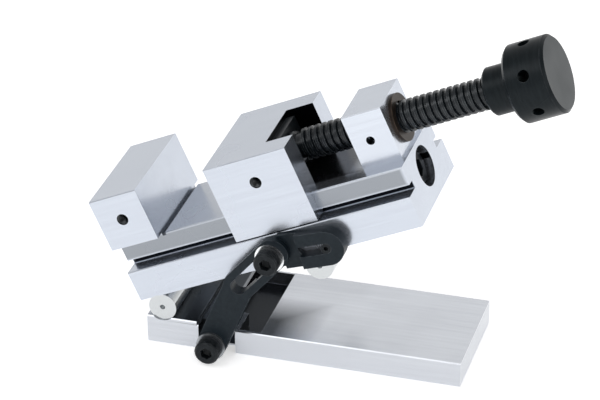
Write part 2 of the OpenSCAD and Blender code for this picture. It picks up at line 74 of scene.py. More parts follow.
WEAR_NOISE = (0.38, 0.60)
WEAR_SCALE = 260.0
WEAR_DETAIL = 4.0
WEAR_SAMPLES = 4
MERGE_DISTANCE = 1e-6
SLIVER_DISTANCE = 1e-7
END_TURN = (0.93, 0.97)
END_RINGS = 0.5


class Lay(Enum):
    """Direction of the machining marks on a surface."""

    ALONG_BASE = "along_base"
    ALONG_BODY = "along_body"
    TURNED = "turned"
    NONE = "none"


GRAIN_STRETCH = {
    Lay.ALONG_BASE: (0.03, 1.0, 1.0),
    Lay.ALONG_BODY: (0.03, 1.0, 1.0),
    Lay.TURNED: (1.0, 0.12, 0.12),
    Lay.NONE: (1.0, 1.0, 1.0),
}


@dataclass(frozen=True)
class Finish:
    """One metal finish: its colours, sheen and marks."""

    name: str
    colour: tuple[float, float, float]
    mark: tuple[float, float, float]
    roughness: float
    metallic: float
    lay: Lay = Lay.NONE
    grain: float = 0.25
    grain_scale: float = 900.0
    wear: float = 0.0
    wear_colour: tuple[float, float, float] = (0.55, 0.56, 0.57)
    bump: float = 0.05
    smudge: float = 0.1
    specular: float = 0.5


@dataclass(frozen=True)
class Zone:
    """A box in body or base coordinates with painted shade: its surface is painted darker or lighter than
    the rest.
    """

    x: tuple[float, float]
    y: tuple[float, float]
    z: tuple[float, float]
    colour: tuple[float, float, float]
    soft: tuple[float, float, float] = (0.4 * MM, 0.4 * MM, 0.4 * MM)


@dataclass(frozen=True)
class EndFace:
    """A turned end face: where it looks and its colours."""

    direction: tuple[float, float, float]
    centre: tuple[float, float, float]
    colour: tuple[float, float, float]
    ring: tuple[float, float, float]
    ring_pitch: float = 0.6 * MM


@dataclass(frozen=True)
class BodyFrame:
    """The tilted frame of the vise body: u along the rail, v square to it, in metres."""

    origin: Vector
    angle: float
    drop: float

    @classmethod
    def from_rolls(cls, drop: float) -> "BodyFrame":
        """Reads the tilt from the two rolls of the CAD frame.

        Args:
            drop: distance of the roll centres below the underside of the body.

        Returns:
            The frame whose origin is the hinge roll's centre.
        """
        start, end = middle(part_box("hinge_roll")), middle(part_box("sine_roll"))
        return cls(start, math.atan2(end.z - start.z, end.x - start.x), drop)

    def point(self, u: float, y: float, v: float) -> Vector:
        """Finds the place of a body point.

        Args:
            u: distance along the rail from the hinge roll.
            y: distance from the middle, negative to the front.
            v: height above the underside of the body.

        Returns:
            The point in the coordinates of the CAD frame.
        """
        return self.matrix(u, y, v).translation

    def matrix(self, u: float = 0.0, y: float = 0.0, v: float = 0.0) -> Matrix:
        """Finds the placement whose X runs along the rail and Z square to it.

        Args:
            u: distance along the rail from the hinge roll.
            y: distance from the middle, negative to the front.
            v: height above the underside of the body.

        Returns:
            The transform from that placement to the CAD frame.
        """
        turn = Matrix.Rotation(-self.angle, 4, "Y")
        return Matrix.Translation(self.origin) @ turn @ Matrix.Translation((u, y, v + self.drop))


def mm(*values: float) -> tuple[float, ...]:
    """Returns millimetres as metres."""
    return tuple(value * MM for value in values)


def middle(box: tuple[Iterable[float], Iterable[float]]) -> Vector:
    """Finds the middle of a box.

    Args:
        box: the lowest and the highest corner.

    Returns:
        The middle.
    """
    low, high = box
    return (Vector(low) + Vector(high)) / 2


def operator(tree: bpy.types.NodeTree, operation: str, vector: bool = False) -> bpy.types.Node:
    """Adds a node that calculates.

    Args:
        tree: the node tree.
        operation: what the node does.
        vector: whether it works on vectors.

    Returns:
        The new node.
    """
    node = tree.nodes.new("ShaderNodeVectorMath" if vector else "ShaderNodeMath")
    node.operation = operation
    return node


def spread(
    tree: bpy.types.NodeTree,
    value: bpy.types.NodeSocket,
    span: tuple[float, float],
    to: tuple[float, float] = ALL,
) -> bpy.types.NodeSocket:
    """Maps one range of values onto another.

    Args:
        tree: the node tree.
        value: the value to map.
        span: the range that it comes from.
        to: the range that it goes to.

    Returns:
        The mapped value.
    """
    node = tree.nodes.new("ShaderNodeMapRange")
    limits = zip(("From Min", "From Max", "To Min", "To Max"), (*span, *to))
    for label, limit in limits:
        node.inputs[label].default_value = limit
    tree.links.new(value, node.inputs["Value"])
    return node.outputs["Result"]


class MeshBuilder:
    """Collects rings and faces, then makes one mesh object of them."""

    def __init__(self) -> None:
        """Starts with no geometry."""
        self.verts: list[Vector] = []
        self.faces: list[tuple[int, ...]] = []

    def ring(self, x: float, radii: list[float]) -> list[int]:
        """Adds a ring about the X axis.

        Args:
            x: place along the axis.
            radii: one radius for each point.

        Returns:
            The numbers of the new points.
        """
        first = len(self.verts)
        count = len(radii)
        for i, radius in enumerate(radii):
            a = 2 * math.pi * i / count
            self.verts.append(Vector((x, radius * math.cos(a), radius * math.sin(a))))
        return list(range(first, first + count))

    def bridge(self, a: list[int], b: list[int]) -> None:
        """Joins two rings of the same length with quads.

        Args:
            a: the first ring.
            b: the ring further along +X.
        """
        n = len(a)
        for i in range(n):
            j = (i + 1) % n
            self.faces.append((a[i], b[i], b[j], a[j]))

    def cap(self, ring: list[int], forward: bool) -> None:
        """Closes a ring with one face.

        Args:
            ring: the points.
            forward: whether the face looks along +X.
        """
        self.faces.append(tuple(ring) if forward else tuple(reversed(ring)))

    def lathe(self, profile: list[tuple[float, float]], segments: int) -> list[list[int]]:
        """Adds a turned shape about the X axis.

        Args:
            profile: (x, radius) pairs from left to right.
            segments: points round each ring.

        Returns:
            The rings.
        """
        rings = [self.ring(x, [r] * segments) for x, r in profile]
        for a, b in zip(rings, rings[1:]):
            self.bridge(a, b)
        return rings

    def build(
        self, name: str, place: Matrix, material: bpy.types.Material, smooth: float = 0.6
    ) -> bpy.types.Object:
        """Makes the object, with its place in its mesh.

        Args:
            name: the piece's name.
            place: transform from local to frame coordinates.
            material: the material of every face.
            smooth: angle up to which edges are shaded smooth.

        Returns:
            The new object.
        """
        mesh = bpy.data.meshes.new(name)
        mesh.from_pydata([place @ v for v in self.verts], [], self.faces)
        work = bmesh.new()
        work.from_mesh(mesh)
        bmesh.ops.remove_doubles(work, verts=work.verts, dist=MERGE_DISTANCE)
        bmesh.ops.dissolve_degenerate(work, edges=work.edges, dist=SLIVER_DISTANCE)
        bmesh.ops.recalc_face_normals(work, faces=work.faces)
        for edge in work.edges:
            edge.smooth = len(edge.link_faces) == 2 and edge.calc_face_angle(0.0) < smooth
        for face in work.faces:
            face.smooth = True
        work.to_mesh(mesh)
        work.free()
        mesh.materials.append(material)
        piece = bpy.data.objects.new(name, mesh)
        bpy.context.scene.collection.objects.link(piece)
        return piece


class GroupFactory:
    """Builds the shared shader node groups once."""

    def __init__(self) -> None:
        """Makes the three shared groups."""
        self.grain = self._grain()
        self.wear = self._wear()
        self.zone = self._zone()

    @staticmethod
    def _group(
        name: str, inputs: list[tuple[str, str, object]], outputs: list[tuple[str, str]]
    ) -> bpy.types.NodeTree:
        """Starts a shader group with its sockets.

        Args:
            name: the group's name.
            inputs: name, socket type and default of each input.
            outputs: name and socket type of each output.

        Returns:
            The new node tree.
        """
        tree = bpy.data.node_groups.new(name, "ShaderNodeTree")
        for label, kind, default in inputs:
            socket = tree.interface.new_socket(label, in_out="INPUT", socket_type=kind)
            if default is not None:
                socket.default_value = default
        for label, kind in outputs:
            tree.interface.new_socket(label, in_out="OUTPUT", socket_type=kind)
        tree.nodes.new("NodeGroupInput").name = "in"
        tree.nodes.new("NodeGroupOutput").name = "out"
        return tree

    def _grain(self) -> bpy.types.NodeTree:
        """Makes the group of fine machining lines and broad cloudiness.

        Returns:
            The node tree.
        """
        tree = self._group(
            "machining_grain",
            [("Vector", "NodeSocketVector", None), ("Scale", "NodeSocketFloat", 900.0)],
            [("Lines", "NodeSocketFloat"), ("Cloud", "NodeSocketFloat")],
        )
        n, link = tree.nodes, tree.links.new
        fine = n.new("ShaderNodeTexNoise")
        fine.inputs["Detail"].default_value = LINE_DETAIL
        fine.inputs["Roughness"].default_value = LINE_ROUGHNESS
        broad = n.new("ShaderNodeTexNoise")
        broad.inputs["Scale"].default_value = CLOUD_SCALE
        broad.inputs["Detail"].default_value = CLOUD_DETAIL
        link(n["in"].outputs["Vector"], fine.inputs["Vector"])
        link(n["in"].outputs["Vector"], broad.inputs["Vector"])
        link(n["in"].outputs["Scale"], fine.inputs["Scale"])
        link(fine.outputs["Fac"], n["out"].inputs["Lines"])
        link(broad.outputs["Fac"], n["out"].inputs["Cloud"])
        return tree

    def _wear(self) -> bpy.types.NodeTree:
        """Makes the group that finds edges and breaks them up.

        Returns:
            The node tree.
        """
        tree = self._group(
            "edge_wear",
            [("Vector", "NodeSocketVector", None), ("Amount", "NodeSocketFloat", 0.5)],
            [("Factor", "NodeSocketFloat")],
        )
        n, link = tree.nodes, tree.links.new
        bevel = n.new("ShaderNodeBevel")
        bevel.samples = WEAR_SAMPLES
        bevel.inputs["Radius"].default_value = WEAR_RADIUS
        shape = n.new("ShaderNodeNewGeometry")
        noise = n.new("ShaderNodeTexNoise")
        noise.inputs["Scale"].default_value = WEAR_SCALE
        noise.inputs["Detail"].default_value = WEAR_DETAIL
        turned = operator(tree, "DOT_PRODUCT", vector=True)
        broken = operator(tree, "MULTIPLY")
        scaled = operator(tree, "MULTIPLY")
        link(bevel.outputs["Normal"], turned.inputs[0])
        link(shape.outputs["Normal"], turned.inputs[1])
        link(n["in"].outputs["Vector"], noise.inputs["Vector"])
        link(spread(tree, turned.outputs["Value"], WEAR_TURN), broken.inputs[0])
        link(spread(tree, noise.outputs["Fac"], WEAR_NOISE), broken.inputs[1])
        link(broken.outputs["Value"], scaled.inputs[0])
        link(n["in"].outputs["Amount"], scaled.inputs[1])
        link(scaled.outputs["Value"], n["out"].inputs["Factor"])
        return tree

    def _zone(self) -> bpy.types.NodeTree:
        """Makes the group that is one inside a box with soft sides.

        Returns:
            The node tree.
        """
        tree = self._group(
            "box_zone",
            [
                ("Vector", "NodeSocketVector", None),
                ("Middle", "NodeSocketVector", (0.0, 0.0, 0.0)),
                ("Half", "NodeSocketVector", (1.0, 1.0, 1.0)),
                ("Soft", "NodeSocketVector", (0.001, 0.001, 0.001)),
            ],
            [("Factor", "NodeSocketFloat")],
        )
        n, link = tree.nodes, tree.links.new
        away = operator(tree, "SUBTRACT", vector=True)
        size = operator(tree, "ABSOLUTE", vector=True)
        room = operator(tree, "SUBTRACT", vector=True)
        over = operator(tree, "DIVIDE", vector=True)
        split = n.new("ShaderNodeSeparateXYZ")
        low = operator(tree, "MINIMUM")
        lowest = operator(tree, "MINIMUM")
        lowest.use_clamp = True
        link(n["in"].outputs["Vector"], away.inputs[0])
        link(n["in"].outputs["Middle"], away.inputs[1])
        link(away.outputs["Vector"], size.inputs[0])
        link(n["in"].outputs["Half"], room.inputs[0])
        link(size.outputs["Vector"], room.inputs[1])
        link(room.outputs["Vector"], over.inputs[0])
        link(n["in"].outputs["Soft"], over.inputs[1])
        link(over.outputs["Vector"], split.inputs["Vector"])
        link(split.outputs["X"], low.inputs[0])
        link(split.outputs["Y"], low.inputs[1])
        link(low.outputs["Value"], lowest.inputs[0])
        link(split.outputs["Z"], lowest.inputs[1])
        link(lowest.outputs["Value"], n["out"].inputs["Factor"])
        return tree


class MaterialLibrary:
    """Makes one procedural material for each finish, from the shared groups."""

    def __init__(self, body: BodyFrame) -> None:
        """Keeps the body frame for marks that follow the rail.

        Args:
            body: the tilted frame of the vise body.
        """
        self.body = body
        self.groups = GroupFactory()

    def _coordinates(self, tree: bpy.types.NodeTree, lay: Lay) -> bpy.types.NodeSocket:
        """Adds object coordinates, turned into the body frame where the lay asks for it.

        Args:
            tree: the material's node tree.
            lay: the direction of the marks.

        Returns:
            The coordinate socket.
        """
        coords = tree.nodes.new("ShaderNodeTexCoord")
        if lay is Lay.ALONG_BASE or lay is Lay.NONE:
            return coords.outputs["Object"]
        turn = tree.nodes.new("ShaderNodeMapping")
        turn.vector_type = "TEXTURE"
        turn.inputs["Location"].default_value = self.body.matrix().translation
        turn.inputs["Rotation"].default_value = (0.0, -self.body.angle, 0.0)
        tree.links.new(coords.outputs["Object"], turn.inputs["Vector"])
        return turn.outputs["Vector"]

    def make(
        self, finish: Finish, zones: tuple[Zone, ...] = (), end_face: EndFace | None = None
    ) -> bpy.types.Material:
        """Makes a material.

        Args:
            finish: the finish to make.
            zones: boxes of painted shade, in the coordinates of the finish's lay.
            end_face: a turned end face of another colour, if the piece has one.

        Returns:
            The new material.
        """
        material = bpy.data.materials.new(finish.name)
        material.use_nodes = True
        tree = material.node_tree
        n, link = tree.nodes, tree.links.new
        shader = n["Principled BSDF"]
        shader.inputs["Metallic"].default_value = finish.metallic
        shader.inputs["Specular IOR Level"].default_value = finish.specular
        where = self._coordinates(tree, finish.lay)
        stretch = n.new("ShaderNodeMapping")
        stretch.inputs["Scale"].default_value = GRAIN_STRETCH[finish.lay]
        link(where, stretch.inputs["Vector"])
        grain = n.new("ShaderNodeGroup")
        grain.node_tree = self.groups.grain
        grain.inputs["Scale"].default_value = finish.grain_scale
        link(stretch.outputs["Vector"], grain.inputs["Vector"])
        cloud = n.new("ShaderNodeGroup")
        cloud.node_tree = self.groups.grain
        link(where, cloud.inputs["Vector"])
        colour = self._mix(tree, finish.colour, finish.mark, grain.outputs["Lines"], finish.grain)
        for zone in zones:
            colour = self._in_zone(tree, zone, where, colour)
        if end_face is not None:
            colour = self._on_end(tree, end_face, colour)
        if finish.wear > 0:
            wear = n.new("ShaderNodeGroup")
            wear.node_tree = self.groups.wear
            wear.inputs["Amount"].default_value = finish.wear
            link(where, wear.inputs["Vector"])
            colour = self._blend(tree, wear.outputs["Factor"], colour, finish.wear_colour)
        link(colour, shader.inputs["Base Color"])
        least = max(LEAST_ROUGHNESS, finish.roughness - finish.smudge)
        most = min(1.0, finish.roughness + finish.smudge)
        link(spread(tree, cloud.outputs["Cloud"], CLOUD_NOISE, (least, most)), shader.inputs["Roughness"])
        bump = n.new("ShaderNodeBump")
        bump.inputs["Strength"].default_value = finish.bump
        bump.inputs["Distance"].default_value = BUMP_DEPTH
        link(grain.outputs["Lines"], bump.inputs["Height"])
        link(bump.outputs["Normal"], shader.inputs["Normal"])
        return material

    def _mix(
        self,
        tree: bpy.types.NodeTree,
        a: tuple[float, ...],
        b: tuple[float, ...],
        factor: bpy.types.NodeSocket,
        amount: float,
    ) -> bpy.types.NodeSocket:
        """Mixes two colours by a noise value.

        Args:
            tree: the material's node tree.
            a: the main colour.
            b: the colour of the marks.
            factor: the noise.
            amount: the most that b shows.

        Returns:
            The mixed colour.
        """
        share = spread(tree, factor, MARK_NOISE, (0.0, amount))
        mix = tree.nodes.new("ShaderNodeMix")
        mix.data_type = "RGBA"
        mix.inputs["A"].default_value = (*a, 1.0)
        mix.inputs["B"].default_value = (*b, 1.0)
        tree.links.new(share, mix.inputs["Factor"])
        return mix.outputs["Result"]

    def _blend(
        self,
        tree: bpy.types.NodeTree,
        factor: bpy.types.NodeSocket,
        under: bpy.types.NodeSocket,
        over: tuple[float, float, float],
    ) -> bpy.types.NodeSocket:
        """Lays a colour over another by a factor.

        Args:
            tree: the material's node tree.
            factor: where the new colour shows.
            under: the colour so far.
            over: the new colour.

        Returns:
            The blended colour.
        """
        mix = tree.nodes.new("ShaderNodeMix")
        mix.data_type = "RGBA"
        mix.inputs["B"].default_value = (*over, 1.0)
        tree.links.new(under, mix.inputs["A"])
        tree.links.new(factor, mix.inputs["Factor"])
        return mix.outputs["Result"]

    def _in_zone(
        self,
        tree: bpy.types.NodeTree,
        zone: Zone,
        where: bpy.types.NodeSocket,
        under: bpy.types.NodeSocket,
    ) -> bpy.types.NodeSocket:
        """Paints shade on the surface inside a zone.

        Args:
            tree: the material's node tree.
            zone: the box and its colour.
            where: the coordinates.
            under: the colour so far.

        Returns:
            The blended colour.
        """
        box = tree.nodes.new("ShaderNodeGroup")
        box.node_tree = self.groups.zone
        low, high = (Vector(corner) for corner in zip(zone.x, zone.y, zone.z))
        box.inputs["Middle"].default_value = (low + high) / 2
        box.inputs["Half"].default_value = (high - low) / 2
        box.inputs["Soft"].default_value = zone.soft
        tree.links.new(where, box.inputs["Vector"])
        return self._blend(tree, box.outputs["Factor"], under, zone.colour)

    def _on_end(
        self, tree: bpy.types.NodeTree, end: EndFace, under: bpy.types.NodeSocket
    ) -> bpy.types.NodeSocket:
        """Colours the faces that look along a direction, with turning rings.

        Args:
            tree: the material's node tree.
            end: the direction, centre and colour.
            under: the colour so far.

        Returns:
            The blended colour.
        """
        n, link = tree.nodes, tree.links.new
        coords = n.new("ShaderNodeTexCoord")
        facing = operator(tree, "DOT_PRODUCT", vector=True)
        facing.inputs[1].default_value = end.direction
        link(coords.outputs["Normal"], facing.inputs[0])
        away = operator(tree, "DISTANCE", vector=True)
        away.inputs[1].default_value = end.centre
        link(coords.outputs["Object"], away.inputs[0])
        wave = operator(tree, "MULTIPLY")
        wave.inputs[1].default_value = 2 * math.pi / end.ring_pitch
        link(away.outputs["Value"], wave.inputs[0])
        sine = operator(tree, "SINE")
        link(wave.outputs["Value"], sine.inputs[0])
        rings = self._mix(tree, end.colour, end.ring, sine.outputs["Value"], END_RINGS)
        mix = n.new("ShaderNodeMix")
        mix.data_type = "RGBA"
        link(under, mix.inputs["A"])
        link(rings, mix.inputs["B"])
        link(spread(tree, facing.outputs["Value"], END_TURN), mix.inputs["Factor"])
        return mix.outputs["Result"]


STEEL = Finish(
    "ground_base", (0.60, 0.62, 0.66), (0.49, 0.51, 0.55), 0.22, 0.95,
    lay=Lay.ALONG_BASE, grain=0.35, grain_scale=480.0, smudge=0.05, bump=0.02,
    wear=0.3, wear_colour=(0.80, 0.82, 0.85),
)
BODY_STEEL = Finish(
    "ground_body", (0.60, 0.64, 0.71), (0.49, 0.52, 0.59), 0.25, 0.94,
    lay=Lay.ALONG_BODY, grain=0.35, grain_scale=480.0, smudge=0.06, bump=0.02,
    wear=0.3, wear_colour=(0.80, 0.82, 0.85),
)
JAW_STEEL = replace(BODY_STEEL, name="ground_jaw")
BLOCK_STEEL = replace(
    BODY_STEEL, name="ground_block", colour=(0.66, 0.70, 0.77), mark=(0.54, 0.57, 0.64)
)
ROLL = Finish(
    "lapped_roll", (0.60, 0.62, 0.63), (0.48, 0.50, 0.51), 0.24, 1.0,
    grain=0.3, grain_scale=1400.0, wear=0.4, wear_colour=(0.75, 0.76, 0.78),
)
BLACK = Finish(
    "black_oxide", (0.005, 0.007, 0.009), (0.016, 0.020, 0.024), 0.32, 0.2,
    grain=0.6, grain_scale=700.0, wear=0.35, wear_colour=(0.13, 0.14, 0.15), bump=0.12, specular=0.22,
)
LINK = Finish(
    "black_link", (0.006, 0.011, 0.016), (0.015, 0.023, 0.029), 0.38, 0.2,
    grain=0.6, grain_scale=500.0, wear=0.4, wear_colour=(0.15, 0.17, 0.19), bump=0.15, specular=0.22,
)
THREAD = Finish(
    "black_thread", (0.007, 0.010, 0.013), (0.022, 0.026, 0.031), 0.22, 0.3,
    lay=Lay.TURNED, grain=0.5, grain_scale=900.0, wear=0.6, wear_colour=(0.20, 0.22, 0.23), specular=0.45,
)
KNOB = Finish(
    "black_knob", (0.004, 0.007, 0.009), (0.013, 0.018, 0.021), 0.34, 0.2,
    lay=Lay.TURNED, grain=0.6, grain_scale=800.0, wear=0.35, wear_colour=(0.14, 0.15, 0.16), bump=0.05,
    specular=0.16,
)
BRIGHT = Finish(
    "bright_washer", (0.88, 0.90, 0.92), (0.72, 0.74, 0.76), 0.14, 1.0,
    grain=0.3, grain_scale=1200.0,
)
DULL = Finish(
    "plain_washer", (0.36, 0.38, 0.40), (0.22, 0.23, 0.24), 0.34, 0.95,
    grain=0.5, grain_scale=900.0, wear=0.3,
)
BRONZE = Finish(
    "bush_bronze", (0.042, 0.031, 0.024), (0.018, 0.014, 0.012), 0.34, 0.75,
    lay=Lay.TURNED, grain=0.6, grain_scale=700.0, wear=0.3, wear_colour=(0.34, 0.23, 0.15), specular=0.3,
)
# Painted shade: near-black colour in the body's groove and relief, in the side holes and in the jaw's
# window, where shade falls.
RECESS_SHADE = (0.006, 0.008, 0.012)
# Painted shade: mid grey on the rail top, darker than the same ground steel elsewhere.
RAIL_TOP_SHADE = (0.165, 0.173, 0.182)
# Painted shadow and reflection of the black lead screw on the middle of the rail top.
RAIL_SCREW_SHADE = (0.05, 0.055, 0.065)
# Painted shade: dark grey on the hinge bed of the base, standing in for the shadow and dark reflection of
# the body's underside.
BED_SHADE = (0.035, 0.042, 0.05)
# Painted shade: near-black colour in the pocket of the base top, standing in for the shadow and dark
# reflection under the tilted body.
POCKET_SHADE = (0.008, 0.011, 0.015)
SHADE_GREY = (0.05, 0.055, 0.06)
# Painted shade: darker grey on the sides of the rail.
RAIL_SIDE_SHADE = (0.30, 0.32, 0.35)
KNOB_END = (0.040, 0.047, 0.050)
KNOB_RING = (0.024, 0.030, 0.033)
BASE_SOCKET_TURN = 0.35
ELBOW_SOCKET_TURN = 0.2
SIDE_SOFT = mm(2, 0.1, 1.2)
BED_SOFT = mm(2, 0.4, 0.4)
SHADE_SOFT = mm(26, 26, 0.05)
RAIL_SOFT = mm(12, 2, 0.15)
WINDOW_SOFT = mm(0.1, 0.1, 0.1)


@dataclass(frozen=True)
class BevelSize:
    """Rounding of the edges of a CAD node."""

    width: float = 0.25 * MM
    segments: int = 2
    angle: float = math.radians(32)


class CadParts:
    """Gives the CAD nodes their materials and rounded edges."""

    def __init__(self, nodes: dict[str, bpy.types.Object], bevel: BevelSize = BevelSize()) -> None:
        """Keeps the frame's nodes.

        Args:
            nodes: the frame's node objects by name.
            bevel: the rounding of their edges.
        """
        self.nodes = nodes
        self.bevel = bevel

    def dress(self, names: Iterable[str], material: bpy.types.Material) -> None:
        """Gives nodes a material and rounded edges.

        Args:
            names: the nodes.
            material: their material.
        """
        for name in names:
            node = self.nodes[name]
            for slot in node.material_slots:
                slot.material = material
            rim = node.modifiers.new("rounded_edges", "BEVEL")
            rim.width = self.bevel.width
            rim.segments = self.bevel.segments
            rim.limit_method = "ANGLE"
            rim.angle_limit = self.bevel.angle
            rim.harden_normals = True

    def dress_all(self, prefixes: tuple[str, ...], material: bpy.types.Material) -> None:
        """Dresses every node whose name starts with one of some prefixes.

        Args:
            prefixes: how the names start.
            material: their material.
        """
        self.dress([name for name in self.nodes if name.startswith(prefixes)], material)


# Turns that a helix begins before its left end, so that the end comes out closed.
LEAD_IN = 2


@dataclass(frozen=True)
class ThreadSize:
    """Sizes of a helical trapezoidal thread."""

    outer: float
    root: float
    pitch: float
    crest: float = 0.36
    flank: float = 0.14
    segments: int = 48


class HelicalThread:
    """A real helical thread about the X axis, right-handed."""

    def __init__(self, size: ThreadSize) -> None:
        """Keeps the sizes.

        Args:
            size: the thread's sizes.
        """
        self.size = size

    def add(self, builder: MeshBuilder, start: float, end: float, end_radius: float) -> None:
        """Adds the thread between two places on the axis.

        Args:
            builder: takes the geometry.
            start: left end.
            end: right end.
            end_radius: radius at both ends, where other shapes join.
        """
        s = self.size
        steps = ((0.0, s.outer), (s.crest, s.outer), (s.crest + s.flank, s.root), (1.0 - s.flank, s.root))
        count = len(steps)
        turns = math.ceil((end - start) / s.pitch) + LEAD_IN + 1
        rows: list[list[int]] = []
        for k in range(turns * count + 1):
            turn, step = divmod(k, count)
            row = []
            for j in range(s.segments):
                a = 2 * math.pi * j / s.segments
                x = start + (turn - LEAD_IN + steps[step][0] + j / s.segments) * s.pitch
                radius = steps[step][1]
                if x <= start or x >= end:
                    x, radius = min(max(x, start), end), end_radius
                row.append(len(builder.verts))
                builder.verts.append(Vector((x, radius * math.cos(a), radius * math.sin(a))))
            rows.append(row)
        for k in range(len(rows) - 1):
            for j in range(s.segments - 1):
                builder.faces.append((rows[k][j], rows[k + 1][j], rows[k + 1][j + 1], rows[k][j + 1]))
            if k + 1 + count < len(rows):
                last = s.segments - 1
                ahead = k + count
                builder.faces.append((rows[k][last], rows[k + 1][last], rows[ahead + 1][0], rows[ahead][0]))


@dataclass(frozen=True)
class LeadScrewSize:
    """Places along the body and radii of the lead screw."""

    tip: float = 87.8 * MM
    tip_len: float = 6.7 * MM
    tip_radius: float = 8.5 * MM
    journal_radius: float = 5.5 * MM
    shoulder: float = 100.1 * MM
    shoulder_len: float = 3.0 * MM
    neck_radius: float = 7.0 * MM
    neck_len: float = 4.0 * MM
    collar: float = 218.6 * MM
    run_out: float = 2.0 * MM
    chamfer: float = 0.6 * MM
    end: float = 246.0 * MM
    thread: ThreadSize = ThreadSize(9.0 * MM, 7.3 * MM, 4.0 * MM)


class LeadScrew:
    """The lead screw with its real thread."""

    def __init__(self, body: BodyFrame, axis_v: float, size: LeadScrewSize = LeadScrewSize()) -> None:
        """Keeps the place and the sizes.

        Args:
            body: the tilted frame of the vise body.
            axis_v: height of the screw axis above the underside of the body.
            size: the screw's sizes.
        """
        self.place = body.matrix(0.0, 0.0, axis_v)
        self.size = size

    def build(self, material: bpy.types.Material) -> bpy.types.Object:
        """Makes the screw and lets it stand for its CAD node.

        Args:
            material: the screw's material.

        Returns:
            The screw.
        """
        s = self.size
        builder = MeshBuilder()
        n = s.thread.segments
        chamfer = s.chamfer
        flange = s.tip + s.tip_len
        neck = s.shoulder + s.shoulder_len
        start = neck + s.neck_len
        profile = [
            (s.tip, s.tip_radius - chamfer),
            (s.tip + chamfer, s.tip_radius),
            (flange - chamfer, s.tip_radius),
            (flange, s.tip_radius - chamfer),
            (flange, s.journal_radius),
            (s.shoulder, s.journal_radius),
            (s.shoulder, s.thread.outer - chamfer),
            (s.shoulder + chamfer, s.thread.outer),
            (neck - chamfer, s.thread.outer),
            (neck, s.thread.outer - chamfer),
            (neck, s.neck_radius),
            (start, s.neck_radius),
            (start, s.thread.root),
        ]
        left = builder.lathe(profile, n)
        builder.cap(left[0], False)
        HelicalThread(s.thread).add(builder, start, s.collar - s.run_out, s.thread.root)
        collar = s.collar
        run_out = collar - s.run_out
        ending = [
            (run_out, s.thread.root),
            (collar, s.thread.root),
            (collar, s.journal_radius),
            (s.end, s.journal_radius),
        ]
        right = builder.lathe(ending, n)
        builder.cap(right[-1], True)
        piece = builder.build("threaded_screw", self.place, material, smooth=0.45)
        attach(piece, "screw")
        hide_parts("lead_screw")
        return piece


@dataclass(frozen=True)
class KnurlSize:
    """Sizes of a knurled cap head with a hexagon socket."""

    radius: float = 7.0 * MM
    head: float = 8.0 * MM
    depth: float = 0.28 * MM
    teeth: int = 48
    socket: float = 6.0 * MM
    socket_depth: float = 4.0 * MM
    chamfer: float = 0.7 * MM
    root_band: float = 1.0 * MM
    socket_cone: float = 1.0 * MM
    cone_tip: float = 0.2 * MM
    lip: float = 0.3 * MM
    lip_width: float = 0.25 * MM
    run_in: float = 0.2 * MM
    run_out: float = 0.1 * MM
    seat_edge: float = 0.2 * MM
    shank_chamfer: float = 0.4 * MM


class KnurledScrew:
    """A socket cap screw with a straight-knurled head, looking to the front."""

    def __init__(self, node: str, body: str, shank: float, size: KnurlSize = KnurlSize()) -> None:
        """Keeps which CAD node the screw stands for.

        Args:
            node: the CAD node.
            body: the body that it rides on.
            shank: radius of the shank.
            size: the head's sizes.
        """
        self.node, self.body, self.shank, self.size = node, body, shank, size

    def _hexagon(self, count: int) -> list[float]:
        """Finds the radius of the socket at each of the head's angles.

        Args:
            count: points round the head.

        Returns:
            One radius for each point.
        """
        flat = self.size.socket / 2
        side = math.pi / 3
        angles = (2 * math.pi * i / count for i in range(count))
        return [flat / math.cos(angle % side - side / 2) for angle in angles]

    def build(self, material: bpy.types.Material, tilt: float) -> bpy.types.Object:
        """Makes the screw and lets it stand for its CAD node.

        Args:
            material: the screw's material.
            tilt: turn of the socket about the screw's axis.

        Returns:
            The screw.
        """
        s = self.size
        low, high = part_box(self.node)
        centre = middle((low, high))
        length = high[1] - low[1]
        count = s.teeth * 4
        builder = MeshBuilder()
        # Each tooth has four points: two on its crest, then two at its root.
        knurl = [s.radius - (s.depth if i % 4 in (2, 3) else 0.0) for i in range(count)]
        root = s.radius - s.depth
        band = s.head - s.root_band
        floor = builder.ring(s.socket_depth + s.socket_cone, [s.cone_tip] * count)
        wall_end = builder.ring(s.socket_depth, self._hexagon(count))
        mouth = builder.ring(s.lip, self._hexagon(count))
        lip = builder.ring(0.0, [r + s.lip_width for r in self._hexagon(count)])
        rim = builder.ring(0.0, [s.radius - s.chamfer - s.lip_width] * count)
        shoulder = builder.ring(s.chamfer, [root] * count)
        knurl_top = builder.ring(s.chamfer + s.run_in, knurl)
        knurl_end = builder.ring(band, knurl)
        plain = builder.ring(band + s.run_out, [root] * count)
        seat = builder.ring(s.head - s.seat_edge, [root] * count)
        under = builder.ring(s.head, [root - s.seat_edge] * count)
        neck = builder.ring(s.head, [self.shank] * count)
        tip = builder.ring(length - s.shank_chamfer, [self.shank] * count)
        end = builder.ring(length, [self.shank - s.shank_chamfer] * count)
        socket = [floor, wall_end, mouth, lip]
        head = [rim, shoulder, knurl_top, knurl_end, plain, seat, under]
        chain = [*socket, *head, neck, tip, end]
        for a, b in zip(chain, chain[1:]):
            builder.bridge(a, b)
        builder.cap(floor, False)
        builder.cap(end, True)
        turn = Matrix.Rotation(tilt, 4, "Y") @ Matrix.Rotation(math.pi / 2, 4, "Z")
        place = Matrix.Translation((centre.x, low[1], centre.z)) @ turn
        piece = builder.build("knurled_" + self.node, place, material, smooth=0.35)
        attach(piece, self.body)
        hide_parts(self.node)
        return piece


@dataclass(frozen=True)
class TappedHoleSize:
    """Sizes of the thread inside a tapped hole."""

    radius: float = 3.38 * MM
    depth: float = 12.0 * MM
    start: float = 0.7 * MM
    pitch: float = 1.25 * MM
    height: float = 0.5 * MM
    wall: float = 0.05 * MM
    segments: int = 32


